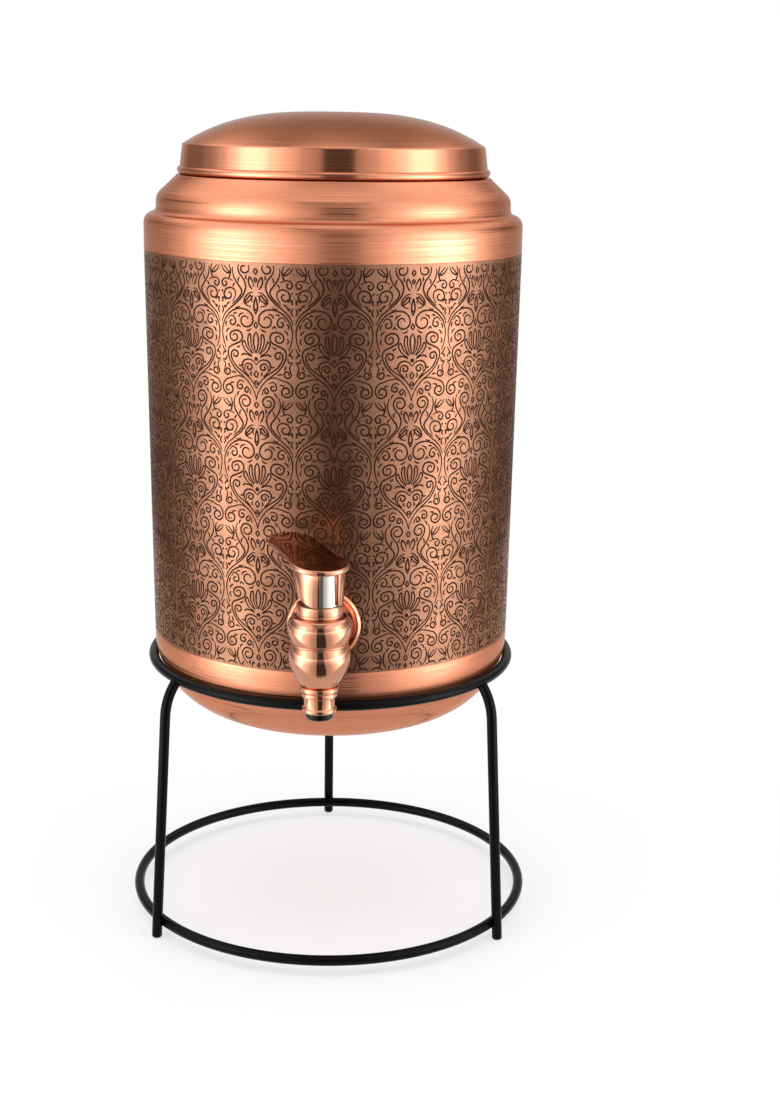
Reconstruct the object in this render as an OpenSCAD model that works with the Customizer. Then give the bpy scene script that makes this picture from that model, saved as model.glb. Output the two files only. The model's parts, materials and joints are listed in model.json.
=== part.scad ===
// Copper water dispenser: an embossed vessel with a lid and a lever tap, on a wire stand.
// Millimetres. +Z is up, the floor is z = 0, the vessel's axis is the Z axis and the tap faces -Y.

/* [Stand] */
// Diameter of the stand's wire
wire_d = 5; // [4:0.5:7]
// Radius of the base ring, at the middle of its wire
base_ring_r = 98.6; // [90:0.1:125]
// Height of the base ring's wire above the floor
base_ring_z = 7.5; // [5:0.5:25]
// Height of the upper ring's wire above the floor
upper_ring_z = 130.6; // [100:0.2:220]
// Angle below the horizontal at which the vessel's corner rests on the upper ring
seat_angle = 17.3; // [12:0.1:50]
// How far each leg stands outside the upper ring where its bend starts
leg_out = 7.2; // [2:0.1:12]
// Height of each leg's bend, from its start to the upper ring
leg_bend_h = 18; // [10:1:40]
// Turn of the stand about the vessel's axis
stand_turn = 1.2; // [-25:0.1:25]
// Angle of each front leg from the front
front_leg_turn = 54.5; // [40:0.5:65]
// Angle of the rear leg from the back
rear_leg_turn = 1.3; // [-10:0.1:10]

/* [Vessel] */
// Thickness of the copper sheet
sheet = 1; // [0.6:0.1:1.6]
// Radius of the embossed sleeve at its lower edge
sleeve_bottom_r = 88.1; // [80:0.1:96]
// Radius of the embossed sleeve at its upper edge
sleeve_top_r = 90.3; // [84:0.1:98]
// Height of the embossed sleeve
sleeve_h = 185.4; // [140:0.1:260]
// Radius of the corner between the vessel's floor and its wall
base_corner_r = 39; // [20:1:45]
// Height of the straight rim above that corner
base_rim_h = 2.8; // [0.4:0.1:12]
// Height of the lap by which the base and the shoulder reach into the sleeve
lap_h = 6; // [3:0.5:12]
// Height of the shoulder's straight wall
shoulder_h = 12.3; // [6:0.1:30]
// Radius of the shoulder's first rounded step
step_r = 5; // [3:0.1:8]
// Radius of the cove between the two steps
cove_r = 3; // [2:0.1:6]
// Height of the straight wall between the cove and the second step
step_wall_h = 2.1; // [0.5:0.1:8]
// Radius of the shoulder's second rounded step
crown_r = 7; // [4:0.1:10]
// Height of the neck above the ledge that the lid rests on
neck_h = 9; // [5:0.5:11]

/* [Lid] */
// Radius of the lid's skirt
lid_r = 71.8; // [62:0.1:73]
// Height of the lid's skirt, from its rolled bead's lower edge to the rounded edge above
lid_skirt_h = 13.1; // [12:0.1:24]
// Rise of the lid's crown above its rounded edge
lid_rise = 15.2; // [8:0.1:30]
// Power of the crown's curve: a higher one is flatter in the middle
lid_power = 3; // [2:0.1:4]
// Thickness of the rolled bead
lid_bead_d = 3.8; // [2.5:0.1:5]
// How far the bead stands out from the skirt
lid_bead_out = 2.5; // [1.5:0.1:3.5]

/* [Tap body] */
// Height of the tap's shank above the sleeve's lower edge
tap_h = 24.2; // [22:0.1:80]
// Distance from the sleeve to the tap's vertical axis
tap_standoff = 46; // [45:0.5:70]
// Radius of the upper bulge
upper_bulge_r = 13.85; // [12.5:0.05:17]
// Height of the upper bulge's widest point above the shank
upper_bulge_z = 11.9; // [9:0.1:13]
// Radius of the waist between the bulges
waist_r = 12.15; // [11:0.05:12.4]
// Height of the waist above the shank
waist_z = 4.9; // [3:0.1:7]
// Radius of the lower bulge
lower_bulge_r = 13.4; // [12.5:0.05:17]
// Depth of the lower bulge's widest point below the shank
lower_bulge_drop = 1.3; // [0:0.1:3]
// Depth of the taper's end below the shank
taper_drop = 14.5; // [13:0.1:17]
// Depth of the nozzle's end below the shank
nozzle_drop = 26.1; // [24:0.1:40]
// Radius of the nozzle
nozzle_r = 6.65; // [6.2:0.05:8]
// How far the black outlet insert stands below the nozzle
insert_h = 3.4; // [2:0.1:8]
// Radius of the hole through the outlet insert
outlet_r = 3.6; // [2:0.1:4]
// Radius of the flange at the vessel's wall
flange_r = 17; // [15.5:0.1:20]
// Thickness of the flange
flange_t = 3.6; // [3:0.1:5]
// Radius of the threaded shank
shank_r = 7.5; // [6.5:0.1:7.6]
// Radius of the water's way through the shank
inlet_r = 4.2; // [3:0.1:4.6]

/* [Bonnet and lever] */
// Radius of the bonnet's collar
collar_r = 10.1; // [9.8:0.05:10.8]
// Height of the bonnet's collar
collar_h = 5.3; // [3:0.1:9]
// Height of the lever's pin above the collar
pin_h = 8.8; // [8.6:0.1:12]
// Radius of the lever's pin
pin_r = 1.2; // [0.8:0.05:1.3]
// Width of the chrome post between the lever's cheeks
post_w = 8.5; // [8:0.1:9.5]
// Radius of the chrome post's rounded front
post_r = 9; // [8.8:0.05:9.4]
// Radius of the lever's hub at its lower edge
hub_bottom_r = 10.15; // [9.8:0.05:11]
// Radius of the lever's hub under its disc
hub_top_r = 10.9; // [10.2:0.05:11.6]
// Radius of the lever's disc
disc_r = 12.6; // [12:0.1:15]
// Thickness of the lever's disc and paddle
plate_t = 2.5; // [1.8:0.1:3]
// Length of the paddle, from the tap's axis to its end
paddle_l = 42; // [30:0.5:42.5]
// Width of the paddle
paddle_w = 22; // [16:0.5:23]
// Length of the paddle's rounded end
paddle_round = 14; // [8:0.5:16]
// Rise of the disc and paddle towards the paddle's end, in degrees
lever_tilt = 5.5; // [0:0.5:7]
// Direction of the lever, turned left from straight back
lever_turn = 26.5; // [-60:0.5:60]
// How far the lever is pressed down, in degrees
press_angle = 25; // [15:1:25]
// How far the lift cam's lobe is from the pin
cam_throw = 5.2; // [3.5:0.1:5.3]

/* [Hidden] */
$fn = 96;

copper = "#c77b58";
patina = "#8d5d42";
chrome = "#c9ccce";
black = "#1b1b1c";
rubber = "#2a2624";
steel = "#9a9c9e";

// Clearances
seat_gap = 0.3;
lap_gap = 0.15;
lid_gap = 0.4;
weld_gap = 0.03;
hole_gap = 0.3;
run_gap = 0.1;
fit_gap = 0.03;
flat_gap = 0.15;
side_gap = 0.2;
top_gap = 0.35;
pin_gap = 0.05;
spring_gap = 0.05;
gasket_gap = 0.1;
cut = 1;
arc_steps = 12;

// Vessel levels and radii, worked up from the ring that it stands in
corner_c_r = sleeve_bottom_r - base_corner_r;
seat_reach = base_corner_r + wire_d / 2 + seat_gap;
upper_ring_r = corner_c_r + seat_reach * cos(seat_angle);
corner_c_z = upper_ring_z + seat_reach * sin(seat_angle);
base_z = corner_c_z - base_corner_r;
sleeve_z = corner_c_z + base_rim_h;
shoulder_z = sleeve_z + sleeve_h;
step_turn = 75;
slope = 45;
ledge_margin = 0.6;
ledge_r = lid_r + lid_bead_out + ledge_margin;
lid_sheet = 0.8 * sheet;
neck_r = lid_r - lid_sheet - lid_gap;

// The shoulder's roundings, limited by the width between the sleeve and the ledge
round_w = (step_r + cove_r) * (1 - cos(step_turn)) + crown_r * (1 - cos(slope)) + sheet;
round_fit = min(1, (sleeve_top_r - ledge_r) / round_w);
step_round = round_fit * step_r;
cove_round = round_fit * cove_r;
crown_round = round_fit * crown_r;
step_c = [sleeve_top_r - step_round, shoulder_z + shoulder_h];
cove_c = step_c + (step_round + cove_round) * [cos(step_turn), sin(step_turn)];
crown_c = [cove_c[0] - cove_round - crown_round, cove_c[1] + step_wall_h];
crown_end = crown_c + crown_round * [cos(slope), sin(slope)];
ledge_z = crown_end[1] + (crown_end[0] - ledge_r) * tan(slope);

// Lid levels
lid_z = ledge_z + seat_gap;
lid_edge_r = 1.2;
lid_edge_turn = 56;
lid_edge_z = lid_z + lid_skirt_h;
bead_c = [lid_r + lid_bead_out - lid_bead_d / 2, lid_z + lid_bead_d / 2];

// Stand
wire_r = wire_d / 2;
weld_depth = 0.7;
leg_foot_r = base_ring_r + wire_d - weld_depth;
leg_bend_r = upper_ring_r + leg_out;
leg_bend_z = upper_ring_z - leg_bend_h;
leg_lean = atan((leg_foot_r - leg_bend_r) / leg_bend_z);
chord_lean = atan(leg_out / leg_bend_h);
leg_turn = 2 * (chord_lean - leg_lean);
leg_bow_r = norm([leg_out, leg_bend_h]) / (2 * sin(leg_turn / 2));
leg_end_gap = 0.6 * wire_r; // from the leg's cut end to the middle of the upper ring's wire
leg_end_turn = leg_end_gap / leg_bow_r * 180 / PI;

// Tap levels, above the floor
shank_z = sleeve_z + tap_h;
wall_r = sleeve_r(shank_z);
tap_y = -(wall_r + tap_standoff);
body_top_z = shank_z + upper_bulge_z + 5;
body_top_r = 10.9;
collar_top_z = body_top_z + collar_h;
pin_z = collar_top_z + pin_h;
chamber_r = 8.6;
seat_z = shank_z - 9.5;
nozzle_z = shank_z - nozzle_drop;
outlet_bore_r = outlet_r + 0.9;
insert_plug_h = 9;
taper_r = 7.5;
ring_drop = 19.1;

// Fittings along the shank: distances from the vessel's axis
gasket_t = 1.5;
gasket_r = 14;
flange_back = wall_r + gasket_t;
flange_front = flange_back + flange_t - 1.2;
neck_tube_r = shank_r + 1.7;
socket_depth = 15;
inner_wall_r = wall_r - sheet;
nut_face = inner_wall_r - 3;
nut_t = 6;
nut_flats = 24;
shank_end = nut_face - nut_t - 4;

// Valve parts
spigot_r = 5.8;
bonnet_skirt_r = chamber_r - 0.05;
bonnet_bottom_z = body_top_z - 7.4;
clip_t = 1;
clip_w = 2;
clip_depth = 0.6;
spigot_z = bonnet_bottom_z - 2.5;
stem_r = 2.4;
seal_d = 1.5;
plug_r = 6.2;
plug_t = 4.4;
plug_floor = 1;
plug_z = seat_z + 0.1;
stem_flange_t = 1.2;
spring_wire_d = 0.8;
spring_r = 4.9;
spring_turns = 6;
spring_z = plug_z + plug_t + stem_flange_t;

// Lever parts, measured from the pin: p runs to the paddle, h upwards
plate_h = 9.3;
plate_under = plate_h - plate_t;
hub_bottom_h = 2 * side_gap - pin_h;
slot_w = post_w + 2 * side_gap;
relief_turn = press_angle + 3;
relief_p = -7.5;
post_bottom_h = flat_gap - pin_h;
post_top = plate_under * cos(lever_tilt) - top_gap;
yoke_w = 5;
yoke_front = -(cam_throw + 2.2);
yoke_back = 1.9;
yoke_gap = 0.25;
lobe_r = 2.2;
cam_t = 2;
bar_h = lobe_r + 0.1;
bar_t = 1.5;
stem_travel = cam_throw * press_angle * PI / 180;
window_h = -(stem_travel + 2.4);
yoke_bottom_h = window_h - 1.9;
pin_right = hub_bottom_r;
pin_left = 8.5;

function sleeve_r(z) = sleeve_bottom_r + (sleeve_top_r - sleeve_bottom_r) * (z - sleeve_z) / sleeve_h;
function arc(c, r, a0, a1, n = arc_steps) =
    [for (i = [0:n]) let (a = a0 + (a1 - a0) * i / n) c + r * [cos(a), sin(a)]];
function reversed(path) = [for (i = [len(path) - 1:-1:0]) path[i]];
// A curve from one radius and height to another: a power of 2 leaves the first point as an arc does
function swell(r0, z0, r1, z1, power, n = arc_steps) =
    [for (i = [0:n]) let (t = i / n) [r0 + (r1 - r0) * pow(t, power), z0 + (z1 - z0) * t]];
function quarter(r0, z0, r1, z1, n = arc_steps) =
    [for (i = [0:n]) let (a = 90 * i / n) [r1 + (r0 - r1) * cos(a), z0 + (z1 - z0) * sin(a)]];

// Places a shape that is drawn about the tap's vertical axis
module at_tap() {
    translate([0, tap_y, 0]) children();
}

// Lays a shape along the shank, its z running from the vessel's axis out to the tap
module along_shank() {
    translate([0, 0, shank_z]) rotate([90, 0, 0]) children();
}

// Places a shape that is drawn about the lever's pin
module at_pin() {
    translate([0, tap_y, pin_z]) rotate([0, 0, lever_turn]) children();
}

// A straight rod along the pin, from one x to another
module cross_rod(x0, x1, r) {
    translate([x0, 0, 0]) rotate([0, 90, 0]) cylinder(h = x1 - x0, r = r);
}

// A block given by its limits along x, p and h
module block(x, p, h) {
    translate([x[0], p[0], h[0]]) cube([x[1] - x[0], p[1] - p[0], h[1] - h[0]]);
}

// Everything above a slanted line that stands off the pin by dist and is turned down to the paddle by turn
module above_line(dist, turn) {
    size = 60;
    rotate([-turn, 0, 0]) translate([-size / 2, -size / 2, dist]) cube(size);
}

module wire_ring(ring_r, r) {
    rotate_extrude() translate([ring_r, 0]) circle(r = r, $fn = 48);
}

module upper_ring() {
    color(black) translate([0, 0, upper_ring_z]) wire_ring(upper_ring_r, wire_r);
}

module base_ring() {
    color(black) translate([0, 0, base_ring_z]) wire_ring(base_ring_r, wire_r);
}

// One leg: a leaning straight wire, bent in at its top, shaped to the rings that it is welded to
module leg(turn) {
    straight = leg_bend_z / cos(leg_lean) + 2 * wire_r;
    color(black) rotate([0, 0, turn + stand_turn]) difference() {
        intersection() {
            union() {
                translate([leg_bend_r, 0, leg_bend_z]) rotate([0, 180 - leg_lean, 0])
                    cylinder(h = straight, r = wire_r, $fn = 48);
                translate([leg_bend_r, 0, leg_bend_z]) rotate([0, -leg_lean, 0]) translate([-leg_bow_r, 0, 0])
                    rotate([90, 0, 0]) mirror([0, 0, 1]) rotate_extrude(angle = leg_turn - leg_end_turn)
                        translate([leg_bow_r, 0]) circle(r = wire_r, $fn = 48);
            }
            translate([0, -base_ring_r, 0])
                cube([2 * base_ring_r, 2 * base_ring_r, upper_ring_z + wire_r]);
        }
        translate([0, 0, upper_ring_z]) wire_ring(upper_ring_r, wire_r + weld_gap);
        translate([0, 0, base_ring_z]) wire_ring(base_ring_r, wire_r + weld_gap);
    }
}

module leg_rear() {
    leg(90 + rear_leg_turn);
}

module leg_left() {
    leg(270 - front_leg_turn);
}

module leg_right() {
    leg(270 + front_leg_turn);
}

function base_path(t) = concat(
    [[0, base_z + t]],
    arc([corner_c_r, corner_c_z], base_corner_r - t, -90, 0, 2 * arc_steps));

// Outline of the lap that reaches into the sleeve from a seam at height z to far, joined on at height root
function lap_path(z, far, root) =
    let (inner = min(sleeve_r(z), sleeve_r(far)) - 2 * sheet - lap_gap)
    [[sleeve_r(z), z], [sleeve_r(z) - sheet - lap_gap, z], [sleeve_r(far) - sheet - lap_gap, far],
     [inner, far], [inner, root]];

module vessel_base() {
    color(copper) rotate_extrude() polygon(concat(
        base_path(0), lap_path(sleeve_z, sleeve_z + lap_h, corner_c_z), reversed(base_path(sheet))));
}

module embossed_sleeve() {
    color(patina) difference() {
        rotate_extrude() polygon([
            [sleeve_bottom_r - sheet, sleeve_z], [sleeve_bottom_r, sleeve_z],
            [sleeve_top_r, shoulder_z], [sleeve_top_r - sheet, shoulder_z]]);
        along_shank() translate([0, 0, inner_wall_r - lap_h]) cylinder(h = 2 * lap_h, r = shank_r + hole_gap);
    }
}

function shoulder_path(t) = concat(
    arc(step_c, step_round - t, 0, step_turn),
    arc(cove_c, cove_round + t, 180 + step_turn, 180),
    arc(crown_c, crown_round - t, 0, slope),
    [[ledge_r - t * tan(slope / 2), ledge_z - t], [neck_r - t, ledge_z - t], [neck_r - t, ledge_z + neck_h]]);

module vessel_shoulder() {
    root = shoulder_z + 2 * sheet;
    color(copper) rotate_extrude() polygon(concat(
        shoulder_path(0), reversed(shoulder_path(sheet)), [[sleeve_top_r - sheet, root]],
        reversed(lap_path(shoulder_z, shoulder_z - lap_h, root))));
}

// The crown falls from its middle by a power of the radius
function crown_path(r, z) =
    [for (i = [0:2 * arc_steps]) let (t = 1 - i / (2 * arc_steps))
        [r * t, z + lid_rise * (1 - pow(t, lid_power))]];

module lid_cap() {
    edge = arc([lid_r - lid_edge_r, lid_edge_z], lid_edge_r, 0, lid_edge_turn);
    rim = edge[arc_steps];
    color(copper) rotate_extrude() {
        polygon(concat([[lid_r, bead_c[1]]], edge, crown_path(rim[0], rim[1]),
                       reversed(crown_path(lid_r - lid_sheet, rim[1] - lid_sheet)),
                       [[lid_r - lid_sheet, bead_c[1]]]));
        difference() {
            translate(bead_c) circle(r = lid_bead_d / 2, $fn = 48);
            translate([0, lid_z - cut]) square([lid_r - lid_sheet, lid_bead_d + 2 * cut]);
        }
    }
}

function tap_outline() = concat(
    [[0, nozzle_z], [nozzle_r + 0.75, nozzle_z], [nozzle_r + 0.75, nozzle_z + 1.5],
     [nozzle_r, nozzle_z + 2.2], [nozzle_r + 0.25, shank_z - ring_drop],
     [nozzle_r + 1.25, shank_z - ring_drop], [nozzle_r + 1.25, shank_z - ring_drop + 2.1],
     [nozzle_r + 0.7, shank_z - ring_drop + 2.3], [nozzle_r + 1.65, shank_z - ring_drop + 2.5],
     [nozzle_r + 1.65, shank_z - taper_drop]],
    reversed(swell(lower_bulge_r, shank_z - lower_bulge_drop, taper_r, shank_z - taper_drop, 1.7)),
    swell(lower_bulge_r, shank_z - lower_bulge_drop, waist_r, shank_z + waist_z, 2),
    reversed(swell(upper_bulge_r, shank_z + upper_bulge_z, waist_r, shank_z + waist_z, 2)),
    quarter(upper_bulge_r, shank_z + upper_bulge_z, body_top_r, body_top_z),
    [[0, body_top_z]]);

module tap_body() {
    color(copper) difference() {
        union() {
            at_tap() rotate_extrude() polygon(tap_outline());
            along_shank() translate([0, 0, flange_front])
                cylinder(h = -tap_y - flange_front, r = neck_tube_r);
        }
        at_tap() translate([0, 0, seat_z]) cylinder(h = body_top_z - seat_z + cut, r = chamber_r);
        at_tap() translate([0, 0, nozzle_z - cut])
            cylinder(h = seat_z - nozzle_z + 2 * cut, r = outlet_bore_r);
        along_shank() translate([0, 0, flange_front - cut]) cylinder(h = -tap_y - flange_front, r = inlet_r);
        along_shank() translate([0, 0, flange_front - cut])
            cylinder(h = socket_depth + cut, r = shank_r + fit_gap);
    }
}

module tap_flange() {
    rim = 1.4;
    color(copper) along_shank() translate([0, 0, flange_back]) rotate_extrude() difference() {
        union() {
            square([flange_r - rim, flange_front - flange_back]);
            polygon(concat([[neck_tube_r + 1.5, 0], [flange_r - 0.6, 0]],
                           arc([flange_r - rim, flange_t - rim], rim, -20, 110),
                           [[neck_tube_r + 1.5, flange_front - flange_back]]));
        }
        translate([0, -cut]) square([shank_r + fit_gap, flange_t + 2 * cut]);
    }
}

module inlet_shank() {
    color(steel) along_shank() difference() {
        translate([0, 0, shank_end])
            cylinder(h = flange_front + socket_depth - fit_gap - shank_end, r = shank_r);
        translate([0, 0, shank_end - cut])
            cylinder(h = flange_front + socket_depth - shank_end + 2 * cut, r = inlet_r);
    }
}

// A solid as wide as the sleeve, grown outwards by grow, for shaping what seats on the wall
module wall_core(grow) {
    translate([0, 0, sleeve_z])
        cylinder(h = sleeve_h, r1 = sleeve_bottom_r + grow, r2 = sleeve_top_r + grow, $fn = 720);
}

module outer_gasket() {
    color(rubber) difference() {
        along_shank() translate([0, 0, wall_r / 2]) cylinder(h = flange_back - wall_r / 2, r = gasket_r);
        wall_core(gasket_gap);
        along_shank() cylinder(h = flange_back + cut, r = shank_r + fit_gap);
    }
}

module inner_gasket() {
    color(rubber) difference() {
        intersection() {
            along_shank() translate([0, 0, nut_face]) cylinder(h = wall_r, r = gasket_r - 1);
            wall_core(-sheet - gasket_gap);
        }
        along_shank() cylinder(h = flange_back + cut, r = shank_r + fit_gap);
    }
}

module lock_nut() {
    color(steel) along_shank() translate([0, 0, nut_face - nut_t]) difference() {
        cylinder(h = nut_t, r = nut_flats / sqrt(3), $fn = 6);
        translate([0, 0, -cut]) cylinder(h = nut_t + 2 * cut, r = shank_r + fit_gap);
    }
}

module bonnet() {
    edge = 0.4;
    color(copper) at_tap() difference() {
        rotate_extrude() polygon([
            [0, bonnet_bottom_z], [bonnet_skirt_r, bonnet_bottom_z], [bonnet_skirt_r, body_top_z],
            [collar_r, body_top_z], [collar_r, collar_top_z - edge], [collar_r - edge, collar_top_z],
            [0, collar_top_z]]);
        translate([0, 0, bonnet_bottom_z - cut])
            cylinder(h = collar_top_z - bonnet_bottom_z + 2 * cut, r = spigot_r + run_gap);
    }
}

module outlet_insert() {
    lip_r = nozzle_r - 0.6;
    edge = 1;
    color(black) at_tap() difference() {
        union() {
            translate([0, 0, nozzle_z - insert_h]) rotate_extrude() polygon(concat(
                [[0, 0], [lip_r - edge, 0]], arc([lip_r - edge, edge], edge, -90, 0),
                [[lip_r, insert_h], [0, insert_h]]));
            translate([0, 0, nozzle_z]) cylinder(h = insert_plug_h, r = outlet_bore_r - fit_gap);
        }
        translate([0, 0, nozzle_z - insert_h - cut])
            cylinder(h = insert_h + insert_plug_h + 2 * cut, r = outlet_r);
    }
}

// The room inside the post for the stem's yoke and the cam
module post_room() {
    side = yoke_w / 2 + yoke_gap;
    block([-side, side], [yoke_front - yoke_gap, yoke_back + yoke_gap], [yoke_bottom_h - 0.4, 2 * plate_h]);
}

module lever_post() {
    groove_z = (bonnet_bottom_z + collar_top_z) / 2;
    color(chrome) difference() {
        union() {
            at_pin() difference() {
                intersection() {
                    translate([0, 0, post_bottom_h]) cylinder(h = plate_h - post_bottom_h, r = post_r);
                    block([-post_w / 2, post_w / 2], [-post_r, post_r], [post_bottom_h, plate_h]);
                }
                above_line(post_top, -lever_tilt - 0.5);
                above_line(post_top, press_angle - lever_tilt + 0.5);
            }
            at_tap() difference() {
                translate([0, 0, spigot_z])
                    cylinder(h = pin_z + post_bottom_h - spigot_z + cut, r = spigot_r);
                translate([0, 0, groove_z - seal_d / 2 - run_gap]) difference() {
                    cylinder(h = seal_d + 2 * run_gap, r = spigot_r + cut);
                    cylinder(h = seal_d + 2 * run_gap, r = spigot_r - seal_d);
                }
                translate([0, 0, bonnet_bottom_z - flat_gap - clip_t - run_gap]) difference() {
                    cylinder(h = clip_t + 2 * run_gap, r = spigot_r + cut);
                    cylinder(h = clip_t + 2 * run_gap, r = spigot_r - clip_depth);
                }
            }
        }
        at_pin() post_room();
        at_pin() cross_rod(-post_r, post_r, pin_r + pin_gap);
        at_tap() translate([0, 0, spigot_z - cut]) cylinder(h = pin_z - spigot_z, r = stem_r + run_gap);
        at_tap() translate([0, 0, spigot_z - cut])
            cylinder(h = seal_d + 2 * run_gap + cut, r = stem_r + seal_d + run_gap);
    }
}

module retaining_clip() {
    clip_r = spigot_r - clip_depth + run_gap;
    gap = 60;
    color(steel) at_tap() translate([0, 0, bonnet_bottom_z - flat_gap - clip_t])
        rotate_extrude(angle = 360 - gap) translate([clip_r, 0]) square([clip_w, clip_t]);
}

module seal_ring(ring_r, z) {
    color(rubber) at_tap() translate([0, 0, z]) rotate_extrude() translate([ring_r, 0])
        circle(r = seal_d / 2, $fn = 32);
}

module post_seal() {
    seal_ring(spigot_r - seal_d / 2 + 0.03, (bonnet_bottom_z + collar_top_z) / 2);
}

module stem_seal() {
    seal_ring(stem_r + seal_d / 2 + 0.05, spigot_z + seal_d / 2 + run_gap / 2);
}

// The spring's wire: a six-sided tube wound from the stem's flange up to the post
module return_spring() {
    rings_per_turn = 16;
    sides = 6;
    rings = spring_turns * rings_per_turn;
    half = spring_wire_d / 2;
    low = spring_z + half + spring_gap;
    rise = spigot_z - half - spring_gap - low;
    points = [for (i = [0:rings]) let (a = 360 * i / rings_per_turn) for (k = [0:sides - 1])
        let (b = 360 * k / sides, r = spring_r + half * cos(b))
            [r * cos(a), r * sin(a), low + rise * i / rings + half * sin(b)]];
    skin = [for (i = [0:rings - 1]) for (k = [0:sides - 1])
        let (a = i * sides + k, b = i * sides + (k + 1) % sides)
            each [[a, a + sides, b], [b, a + sides, b + sides]]];
    first = [for (k = [1:sides - 2]) [0, k, k + 1]];
    end = rings * sides;
    last = [for (k = [1:sides - 2]) [end, end + k + 1, end + k]];
    color(steel) at_tap() polyhedron(points, concat(skin, first, last));
}

module valve_stem() {
    half = yoke_w / 2;
    slot_r = pin_r + side_gap;
    color(steel) difference() {
        union() {
            at_pin() block([-half, half], [yoke_front, yoke_back], [yoke_bottom_h, bar_h + bar_t]);
            at_tap() translate([0, 0, plug_z + plug_floor])
                cylinder(h = pin_z + yoke_bottom_h + cut - plug_z - plug_floor, r = stem_r);
            at_tap() translate([0, 0, plug_z + plug_t])
                cylinder(h = stem_flange_t, r = spring_r + spring_wire_d);
        }
        at_pin() block([-cam_t / 2 - side_gap, cam_t / 2 + side_gap], [yoke_front - cut, yoke_back + cut],
                       [window_h, bar_h]);
        at_pin() cross_rod(-half - cut, half + cut, slot_r);
        at_pin() translate([0, 0, -stem_travel - side_gap]) cross_rod(-half - cut, half + cut, slot_r);
        at_pin() block([-half - cut, half + cut], [-slot_r, slot_r], [-stem_travel - side_gap, 0]);
    }
}

module valve_plug() {
    color(rubber) at_tap() difference() {
        translate([0, 0, plug_z]) cylinder(h = plug_t, r = plug_r);
        translate([0, 0, plug_z + plug_floor - fit_gap]) cylinder(h = plug_t, r = stem_r + fit_gap);
    }
}

// Outline of the lever's top, with y running to the paddle's end
module lever_outline() {
    straight = paddle_l - paddle_round;
    end = [for (i = [0:2 * arc_steps]) let (a = 90 * i / arc_steps - 90)
        [-paddle_w / 2 * sin(a), straight + paddle_round * cos(a)]];
    circle(r = disc_r);
    polygon(concat([[-paddle_w / 2, 0], [paddle_w / 2, 0]], end));
}

module lever() {
    hub_h = plate_h - 1.8 - hub_bottom_h;
    color(copper) at_pin() difference() {
        union() {
            difference() {
                translate([0, 0, hub_bottom_h]) cylinder(h = hub_h, r1 = hub_bottom_r, r2 = hub_top_r);
                block([-slot_w / 2, slot_w / 2], [-disc_r, disc_r], [hub_bottom_h - cut, 2 * plate_h]);
                translate([0, relief_p, hub_bottom_h]) rotate([relief_turn, 0, 0])
                    translate([-disc_r, 0, -4 * disc_r]) cube([2 * disc_r, 4 * disc_r, 4 * disc_r]);
            }
            translate([0, 0, plate_h]) rotate([lever_tilt, 0, 0]) translate([0, 0, -plate_t])
                linear_extrude(height = plate_t) lever_outline();
        }
        cross_rod(-pin_left - fit_gap, 2 * hub_top_r, pin_r + fit_gap);
    }
}

module lever_pin() {
    color(steel) at_pin() cross_rod(-pin_left, pin_right, pin_r);
}

module lift_cam() {
    boss_r = 2;
    color(steel) at_pin() difference() {
        union() {
            cross_rod(-cam_t / 2, cam_t / 2, boss_r);
            translate([0, -cam_throw, 0]) cross_rod(-cam_t / 2, cam_t / 2, lobe_r);
            block([-cam_t / 2, cam_t / 2], [-cam_throw, 0], [-boss_r + 0.4, boss_r - 0.4]);
        }
        cross_rod(-cam_t, cam_t, pin_r + fit_gap);
    }
}

upper_ring();
base_ring();
leg_rear();
leg_left();
leg_right();
vessel_base();
embossed_sleeve();
vessel_shoulder();
lid_cap();
tap_body();
tap_flange();
inlet_shank();
outer_gasket();
inner_gasket();
lock_nut();
bonnet();
outlet_insert();
lever_post();
retaining_clip();
post_seal();
stem_seal();
return_spring();
valve_stem();
valve_plug();
lever();
lever_pin();
lift_cam();
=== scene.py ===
import json
import math

import bmesh
import bpy
from mathutils import Matrix, Vector
from mathutils.geometry import delaunay_2d_cdt


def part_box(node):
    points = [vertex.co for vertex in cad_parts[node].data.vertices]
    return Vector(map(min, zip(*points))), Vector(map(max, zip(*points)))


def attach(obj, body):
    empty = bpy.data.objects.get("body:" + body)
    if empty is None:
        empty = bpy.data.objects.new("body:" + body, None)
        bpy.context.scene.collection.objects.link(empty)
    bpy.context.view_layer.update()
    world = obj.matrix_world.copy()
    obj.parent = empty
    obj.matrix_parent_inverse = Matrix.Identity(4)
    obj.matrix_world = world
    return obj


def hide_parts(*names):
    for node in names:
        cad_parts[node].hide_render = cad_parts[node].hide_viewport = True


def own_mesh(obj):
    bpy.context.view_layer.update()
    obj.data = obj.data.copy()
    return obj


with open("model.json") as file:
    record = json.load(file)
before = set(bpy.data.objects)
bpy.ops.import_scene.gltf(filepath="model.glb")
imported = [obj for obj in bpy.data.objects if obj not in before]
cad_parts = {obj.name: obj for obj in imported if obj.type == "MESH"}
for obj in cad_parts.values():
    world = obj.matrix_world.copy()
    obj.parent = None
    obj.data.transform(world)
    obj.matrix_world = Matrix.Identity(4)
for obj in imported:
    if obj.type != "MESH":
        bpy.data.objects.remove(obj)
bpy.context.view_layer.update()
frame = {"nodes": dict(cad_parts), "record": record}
print("frame loaded:", len(frame["nodes"]), "nodes")

mm = 0.001
tiny = 0.0005  # mm, points closer than this are one
joints = {joint["name"]: joint for joint in frame["record"]["behaviour"]["joints"]}
tapAxis = Vector(joints["lever_swivel"]["pos_m"]) / mm  # a point on the tap's vertical axis, in mm
pinPlace = Vector(joints["lever_press"]["pos_m"]) / mm
pinAxis = Vector(joints["lever_press"]["axis"])


# Lowest and highest corner of a CAD node, in mm
def low(node):
    return Vector(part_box(node)[0]) / mm


def high(node):
    return Vector(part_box(node)[1]) / mm


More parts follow.
